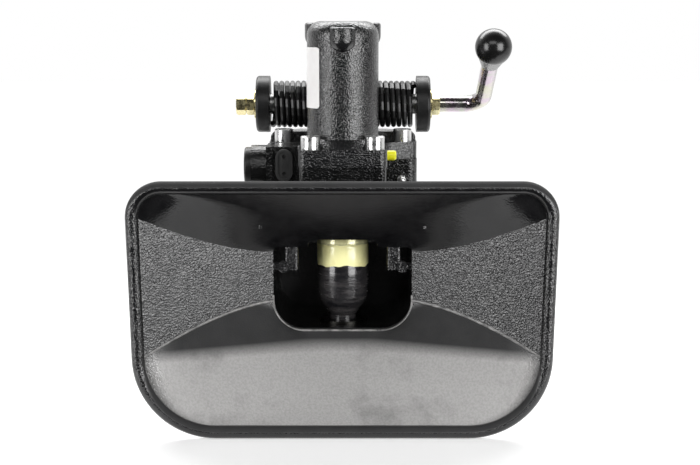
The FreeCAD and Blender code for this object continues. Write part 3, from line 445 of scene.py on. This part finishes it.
# rounded sill along the lower edge of the throat, and rounded ridges where the side panels meet the jaw's floor
throatSill = {"y": -0.2129, "halfWidth": 0.0642, "low": -0.0392, "corner": 0.028, "top": -0.006,
              "radius": 0.0011, "steps": 10, "around": 10}
floorRidge = {"back": -0.2132, "front": -0.2765, "throatHalf": 0.0640, "lipHalf": 0.1750, "throatZ": -0.011,
              "lipZ": -0.049, "bow": 1.7, "radius": 0.0016, "steps": 14, "around": 8}
beadJoin = {"weld": 0.00001, "smoothDegrees": 60}


def startBead(name, cfg, place, turn):
    bpy.ops.object.select_all(action="DESELECT")
    bpy.ops.mesh.primitive_circle_add(vertices=cfg["around"], radius=cfg["radius"], fill_type="NGON",
                                      location=place, rotation=turn)
    bead = bpy.context.object
    bead.name = name
    bpy.ops.object.transform_apply(location=True, rotation=True, scale=False)
    bpy.ops.object.mode_set(mode="EDIT")
    bpy.ops.mesh.select_all(action="SELECT")
    return bead


def pushBead(step):
    bpy.ops.mesh.extrude_region_move(TRANSFORM_OT_translate={"value": step})


def bendBead(cfg, centreX, centreZ):
    bpy.ops.mesh.spin(steps=cfg["steps"], angle=-math.pi / 2, center=(centreX, cfg["y"], centreZ), axis=(0, 1, 0))


def closeBead(bead, body):
    bpy.ops.mesh.select_all(action="SELECT")
    bpy.ops.mesh.remove_doubles(threshold=beadJoin["weld"])
    bpy.ops.mesh.normals_make_consistent(inside=False)
    bpy.ops.object.mode_set(mode="OBJECT")
    bpy.ops.object.shade_smooth_by_angle(angle=math.radians(beadJoin["smoothDegrees"]))
    # the beads carry the painted edge highlight
    bead.data.materials.append(edgeHighlightFinish)
    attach(bead, body)


def makeThroatSill(cfg):
    inner = cfg["halfWidth"] - cfg["corner"]
    level = cfg["low"] + cfg["corner"]
    sill = startBead("throatSill", cfg, (cfg["halfWidth"], cfg["y"], cfg["top"]), (0, 0, 0))
    pushBead((0, 0, level - cfg["top"]))
    bendBead(cfg, inner, level)
    pushBead((-2 * inner, 0, 0))
    bendBead(cfg, -inner, level)
    pushBead((0, 0, cfg["top"] - level))
    closeBead(sill, "head")


def makeFloorRidge(cfg, name, side):
    points = []
    for step in range(cfg["steps"] + 1):
        share = step / cfg["steps"]
        points.append((side * (cfg["throatHalf"] + (cfg["lipHalf"] - cfg["throatHalf"]) * share),
                       cfg["back"] + (cfg["front"] - cfg["back"]) * share,
                       cfg["throatZ"] + (cfg["lipZ"] - cfg["throatZ"]) * share ** cfg["bow"]))
    ridge = startBead(name, cfg, points[0], (0, math.pi / 2, 0))
    for near, far in zip(points, points[1:]):
        pushBead(tuple(b - a for a, b in zip(near, far)))
    closeBead(ridge, "head")


makeThroatSill(throatSill)
makeFloorRidge(floorRidge, "rightRidge", 1)
makeFloorRidge(floorRidge, "leftRidge", -1)
print("sill and ridges made")

# white paper under the part, plain white far from it
paper = {"z": -0.1236, "wide": 8.0, "front": -0.42, "back": 7.0, "nearTone": 0.80, "farTone": 0.02, "lift": 0.42,
         "shadowReach": 0.42, "whiteFrom": 0.95, "roughness": 0.8, "specular": 0.1}


def makePaperFinish(cfg):
    mat, tree, shader, coord = newFinish("floorPaper")
    away = tree.nodes.new("ShaderNodeVectorMath")
    away.operation = "LENGTH"
    tree.links.new(coord.outputs["Object"], away.inputs[0])
    fade = addRange(tree, away.outputs["Value"], (cfg["shadowReach"], cfg["whiteFrom"]))
    tone = addTone(tree, fade, grey(cfg["nearTone"]), grey(cfg["farTone"]), (0.0, 1.0))
    lift = addRange(tree, fade, toSpan=(cfg["lift"], 1.0))
    glow = addMath(tree, "MULTIPLY", addSeen(tree), lift)
    tree.links.new(tone, shader.inputs["Base Color"])
    tree.links.new(glow, shader.inputs["Emission Strength"])
    shader.inputs["Emission Color"].default_value = (1, 1, 1, 1)
    shader.inputs["Roughness"].default_value = cfg["roughness"]
    shader.inputs["Specular IOR Level"].default_value = cfg["specular"]
    return mat


bpy.ops.object.select_all(action="DESELECT")
bpy.ops.mesh.primitive_plane_add(size=1.0, location=(0, (paper["front"] + paper["back"]) / 2, paper["z"]))
floor = bpy.context.object
floor.name = "studioFloor"
floor.scale = (paper["wide"], paper["back"] - paper["front"], 1.0)
bpy.ops.object.transform_apply(location=True, rotation=False, scale=True)
floor.data.materials.append(makePaperFinish(paper))

# white backdrop behind the part, dark room in front of it
room = {"ambient": 0.16, "frontDark": 0.03, "backdropSpan": (-0.15, 0.35)}
world = bpy.data.worlds.new("studioWorld")
bpy.context.scene.world = world
world.use_nodes = True
worldTree = world.node_tree
backdrop = worldTree.nodes["Background"]
backdrop.inputs["Color"].default_value = (1, 1, 1, 1)
wayCoord = worldTree.nodes.new("ShaderNodeTexCoord")
worldPath = worldTree.nodes.new("ShaderNodeLightPath")
wayParts = addParts(worldTree, wayCoord.outputs["Generated"])
behind = addRange(worldTree, wayParts["Y"], room["backdropSpan"], (room["frontDark"], 1.0))
level = addRange(worldTree, addSeen(worldTree), toSpan=(room["ambient"], 1.0))
mirrored = addMath(worldTree, "MULTIPLY", behind, level)
shown = addMath(worldTree, "MAXIMUM", mirrored, worldPath.outputs["Is Camera Ray"])
worldTree.links.new(shown, backdrop.inputs["Strength"])

lamps = [  # name, direction off the front in degrees, height angle, distance, width, height, watts
    ("leftSoftbox", -50, 8, 1.6, 0.70, 1.10, 18),
    ("rightSoftbox", 42, 8, 1.6, 0.95, 1.10, 26),
    ("frontFill", -6, 34, 2.0, 1.4, 0.5, 7),
    ("topSoftbox", 0, 122, 1.6, 3.0, 0.7, 54),
]
aim = (0.0, -0.22, 0.02)
for lampName, swing, rise, reach, width, height, power in lamps:
    side = math.radians(swing)
    up = math.radians(rise)
    place = (aim[0] + reach * math.cos(up) * math.sin(side), aim[1] - reach * math.cos(up) * math.cos(side),
             aim[2] + reach * math.sin(up))
    bpy.ops.object.light_add(type="AREA", location=place, rotation=(math.pi / 2 - up, 0, side))
    lamp = bpy.context.object
    lamp.name = lampName
    lamp.data.shape = "RECTANGLE"
    lamp.data.size = width
    lamp.data.size_y = height
    lamp.data.energy = power

view = {"place": (0.0068, -1.469, 0.245), "pitch": 8.7, "focalPixels": 1382.0, "imageWidth": 700.0,
        "sensorWidth": 36.0, "clipEnd": 30.0}
bpy.ops.object.camera_add(location=view["place"], rotation=(math.radians(90 - view["pitch"]), 0, 0))
camera = bpy.context.object
camera.data.sensor_width = view["sensorWidth"]
camera.data.lens = view["focalPixels"] / view["imageWidth"] * view["sensorWidth"]
camera.data.clip_end = view["clipEnd"]
bpy.context.scene.camera = camera
bpy.context.scene.view_settings.view_transform = "Standard"
print("studio set")
